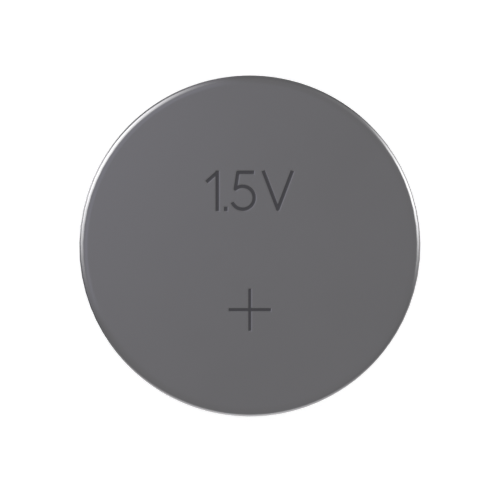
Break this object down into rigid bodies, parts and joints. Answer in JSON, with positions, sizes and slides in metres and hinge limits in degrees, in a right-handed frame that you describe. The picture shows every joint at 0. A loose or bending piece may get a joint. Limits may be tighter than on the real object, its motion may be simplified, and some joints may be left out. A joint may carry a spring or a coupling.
{
  "type": "alkaline button cell",
  "caption": "Small round alkaline button cell: a crimped steel can sealed to a stepped cap by a nylon gasket, with its electrodes and separators inside.",
  "frame": {"origin": "centre of the negative contact, which is the lowest point of the cell as it stands on its cap", "axes": "+Z along the cell's axis, from the negative contact to the positive face; X and Y are equal, because the cell is round"},
  "size_m": [0.0116, 0.0116, 0.0054],
  "materials": {
    "can_nickel": "satin",
    "cap_clad": "satin",
    "gasket_nylon": "satin",
    "cathode_mix": "matte",
    "ring_steel": "satin",
    "film": "satin",
    "pad_fibre": "matte",
    "zinc_gel": "satin"
  },
  "bodies": {
    "root": {"can": "can_nickel", "cap": "cap_clad", "gasket": "gasket_nylon", "cathode_pellet": "cathode_mix", "pellet_ring": "ring_steel", "separator_film": "film", "absorbent_pad": "pad_fibre", "anode_gel": "zinc_gel"}
  },
  "joints": []
}
